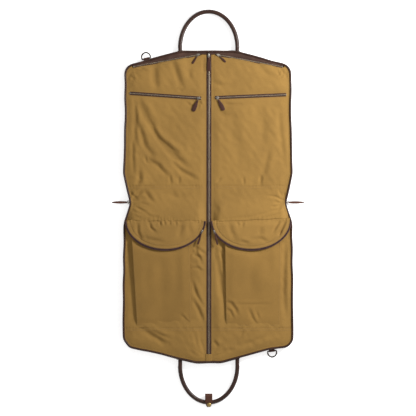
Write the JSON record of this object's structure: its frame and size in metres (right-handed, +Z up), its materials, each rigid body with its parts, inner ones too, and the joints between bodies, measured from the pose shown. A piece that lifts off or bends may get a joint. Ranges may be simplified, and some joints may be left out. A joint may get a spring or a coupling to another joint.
{
  "type": "folding garment bag",
  "caption": "Soft folding garment bag lying open: canvas halves joined at the waist, zipped front and pockets, leather handles and edges, D-rings and a snap strap.",
  "frame": {"origin": "on the surface the open bag lies on, under the middle of its overall box", "axes": "+X to the right across the bag, +Y along the bag towards the top handle, +Z up from the back to the front side"},
  "size_m": [0.6562, 1.3548, 0.0381],
  "materials": {
    "canvas": "brown cotton twill, matt",
    "lining": "plain lining cloth",
    "leather": "dark brown bridle leather, satin",
    "zip_tape": "brown tape with metal teeth",
    "slider_metal": "aged nickel",
    "ring_metal": "gunmetal wire",
    "brass": "antique brass snap"
  },
  "bodies": {
    "upper_half": {"back_panel_upper": "canvas", "centre_zip_upper": "zip_tape", "chest_pocket_left": "lining", "chest_pocket_right": "lining", "chest_zip_left": "zip_tape", "chest_zip_right": "zip_tape", "front_panel_upper_left": "canvas", "front_panel_upper_right": "canvas", "gusset_upper_left": "canvas", "gusset_upper_right": "canvas", "handle_anchor_top": "leather", "hanger_bracket": "ring_metal", "perimeter_zip_upper_left": "zip_tape", "perimeter_zip_upper_right": "zip_tape", "piping_back_upper": "leather", "piping_front_upper": "leather", "ring_tab_top": "leather", "shoulder_zip_left": "zip_tape", "shoulder_zip_right": "zip_tape"},
    "lower_half": {"back_panel_lower": "canvas", "bellows_pocket_left": "canvas", "bellows_pocket_right": "canvas", "centre_zip_lower": "zip_tape", "flap_zip_left": "zip_tape", "flap_zip_right": "zip_tape", "front_panel_lower_left": "canvas", "front_panel_lower_right": "canvas", "gusset_lower": "canvas", "handle_anchor_bottom": "leather", "perimeter_zip_lower": "zip_tape", "piping_back_lower": "leather", "piping_front_lower": "leather", "ring_tab_bottom": "leather"},
    "flap_left": {"flap_left": "canvas"},
    "flap_right": {"flap_right": "canvas"},
    "handle_top": {"handle_top": "leather"},
    "handle_bottom": {"handle_bottom": "leather"},
    "snap_strap": {"snap_strap": "leather", "snap_button": "brass"},
    "d_ring_top": {"d_ring_top": "ring_metal"},
    "d_ring_bottom": {"d_ring_bottom": "ring_metal"},
    "centre_slider": {"centre_slider": "slider_metal"},
    "centre_pull": {"centre_pull": "leather"},
    "shoulder_left_slider": {"shoulder_left_slider": "slider_metal"},
    "shoulder_left_pull": {"shoulder_left_pull": "leather"},
    "shoulder_right_slider": {"shoulder_right_slider": "slider_metal"},
    "shoulder_right_pull": {"shoulder_right_pull": "leather"},
    "chest_left_slider": {"chest_left_slider": "slider_metal"},
    "chest_left_pull": {"chest_left_pull": "leather"},
    "chest_right_slider": {"chest_right_slider": "slider_metal"},
    "chest_right_pull": {"chest_right_pull": "leather"},
    "flap_left_slider": {"flap_left_slider": "slider_metal"},
    "flap_left_pull": {"flap_left_pull": "leather"},
    "flap_right_slider": {"flap_right_slider": "slider_metal"},
    "flap_right_pull": {"flap_right_pull": "leather"},
    "side_left_slider": {"side_left_slider": "slider_metal"},
    "side_left_pull": {"side_left_pull": "leather"},
    "side_right_slider": {"side_right_slider": "slider_metal"},
    "side_right_pull": {"side_right_pull": "leather"}
  },
  "joints": [
    {"name": "waist_fold", "type": "hinge", "parent": "upper_half", "child": "lower_half", "pos_m": [0, 0.019, 0.034], "axis": [1, 0, 0], "range_deg": [-178, 0]},
    {"name": "flap_left_hinge", "type": "hinge", "parent": "lower_half", "child": "flap_left", "pos_m": [-0.145, -0.039, 0.03355], "axis": [-1, 0, 0], "range_deg": [0, 120]},
    {"name": "flap_right_hinge", "type": "hinge", "parent": "lower_half", "child": "flap_right", "pos_m": [0.146, -0.039, 0.03355], "axis": [-1, 0, 0], "range_deg": [0, 120]},
    {"name": "handle_top_swing", "type": "hinge", "parent": "upper_half", "child": "handle_top", "pos_m": [0.0025, 0.5478, 0.0115], "axis": [1, 0, 0], "range_deg": [0, 90]},
    {"name": "handle_bottom_swing", "type": "hinge", "parent": "lower_half", "child": "handle_bottom", "pos_m": [0.0025, -0.5368, 0.0115], "axis": [-1, 0, 0], "range_deg": [0, 90]},
    {"name": "snap_strap_swing", "type": "hinge", "parent": "handle_bottom", "child": "snap_strap", "pos_m": [0.0025, -0.66, 0.0115], "axis": [-1, 0, 0], "range_deg": [0, 80]},
    {"name": "d_ring_top_swing", "type": "hinge", "parent": "upper_half", "child": "d_ring_top", "pos_m": [-0.20971, 0.5103, 0.0128], "axis": [0.9663, 0.2575, 0], "range_deg": [0, 90]},
    {"name": "d_ring_bottom_swing", "type": "hinge", "parent": "lower_half", "child": "d_ring_bottom", "pos_m": [0.2176, -0.48411, 0.0128], "axis": [-0.9917, -0.1283, 0], "range_deg": [0, 90]},
    {"name": "centre_zip_run", "type": "slide", "parent": "upper_half", "child": "centre_slider", "axis": [0, -1, 0], "range_m": [0, 0.47]},
    {"name": "centre_pull_lift", "type": "hinge", "parent": "centre_slider", "child": "centre_pull", "pos_m": [0.003, 0.5125, 0.0242], "axis": [-1, 0, 0], "range_deg": [0, 90]},
    {"name": "shoulder_left_zip_run", "type": "slide", "parent": "upper_half", "child": "shoulder_left_slider", "axis": [-0.9829, -0.1843, 0], "range_m": [0, 0.212]},
    {"name": "shoulder_left_pull_lift", "type": "hinge", "parent": "shoulder_left_slider", "child": "shoulder_left_pull", "pos_m": [-0.03833, 0.51567, 0.0242], "axis": [-0.8365, 0.548, 0], "range_deg": [0, 90]},
    {"name": "shoulder_right_zip_run", "type": "slide", "parent": "upper_half", "child": "shoulder_right_slider", "axis": [0.9829, -0.1843, 0], "range_m": [0, 0.212]},
    {"name": "shoulder_right_pull_lift", "type": "hinge", "parent": "shoulder_right_slider", "child": "shoulder_right_pull", "pos_m": [0.03989, 0.51696, 0.0242], "axis": [-0.6925, -0.7214, 0], "range_deg": [0, 90]},
    {"name": "chest_left_zip_run", "type": "slide", "parent": "upper_half", "child": "chest_left_slider", "axis": [-0.9975, 0.0705, 0], "range_m": [0, 0.205]},
    {"name": "chest_left_pull_lift", "type": "hinge", "parent": "chest_left_slider", "child": "chest_left_pull", "pos_m": [-0.03512, 0.3673, 0.0252], "axis": [-0.9147, 0.4042, 0], "range_deg": [0, 90]},
    {"name": "chest_right_zip_run", "type": "slide", "parent": "upper_half", "child": "chest_right_slider", "axis": [0.9991, 0.0415, 0], "range_m": [0, 0.205]},
    {"name": "chest_right_pull_lift", "type": "hinge", "parent": "chest_right_slider", "child": "chest_right_pull", "pos_m": [0.03552, 0.36926, 0.0252], "axis": [-0.8944, -0.4472, 0], "range_deg": [0, 90]},
    {"name": "flap_left_zip_run", "type": "hinge", "parent": "lower_half", "child": "flap_left_slider", "pos_m": [-0.145, 0.009, 0.0346], "axis": [0, 0, -1], "range_deg": [0, 111.42]},
    {"name": "flap_left_pull_lift", "type": "hinge", "parent": "flap_left_slider", "child": "flap_left_pull", "pos_m": [-0.02269, -0.08486, 0.0363], "axis": [-0.9507, 0.31, 0], "range_deg": [0, 90]},
    {"name": "flap_right_zip_run", "type": "hinge", "parent": "lower_half", "child": "flap_right_slider", "pos_m": [0.146, 0.009, 0.0346], "axis": [0, 0, 1], "range_deg": [0, 111.42]},
    {"name": "flap_right_pull_lift", "type": "hinge", "parent": "flap_right_slider", "child": "flap_right_pull", "pos_m": [0.02313, -0.08502, 0.0363], "axis": [-0.9688, -0.2478, 0], "range_deg": [0, 90]},
    {"name": "side_left_zip_run", "type": "slide", "parent": "upper_half", "child": "side_left_slider", "axis": [-0.2169, 0.9762, 0], "range_m": [0, 0.085]},
    {"name": "side_left_pull_lift", "type": "hinge", "parent": "side_left_slider", "child": "side_left_pull", "pos_m": [-0.27472, 0.02926, 0.0125], "axis": [0, 1, 0], "range_deg": [0, 90]},
    {"name": "side_right_zip_run", "type": "slide", "parent": "upper_half", "child": "side_right_slider", "axis": [0.2169, 0.9762, 0], "range_m": [0, 0.085]},
    {"name": "side_right_pull_lift", "type": "hinge", "parent": "side_right_slider", "child": "side_right_pull", "pos_m": [0.27472, 0.02926, 0.0125], "axis": [0, -1, 0], "range_deg": [0, 90]}
  ]
}
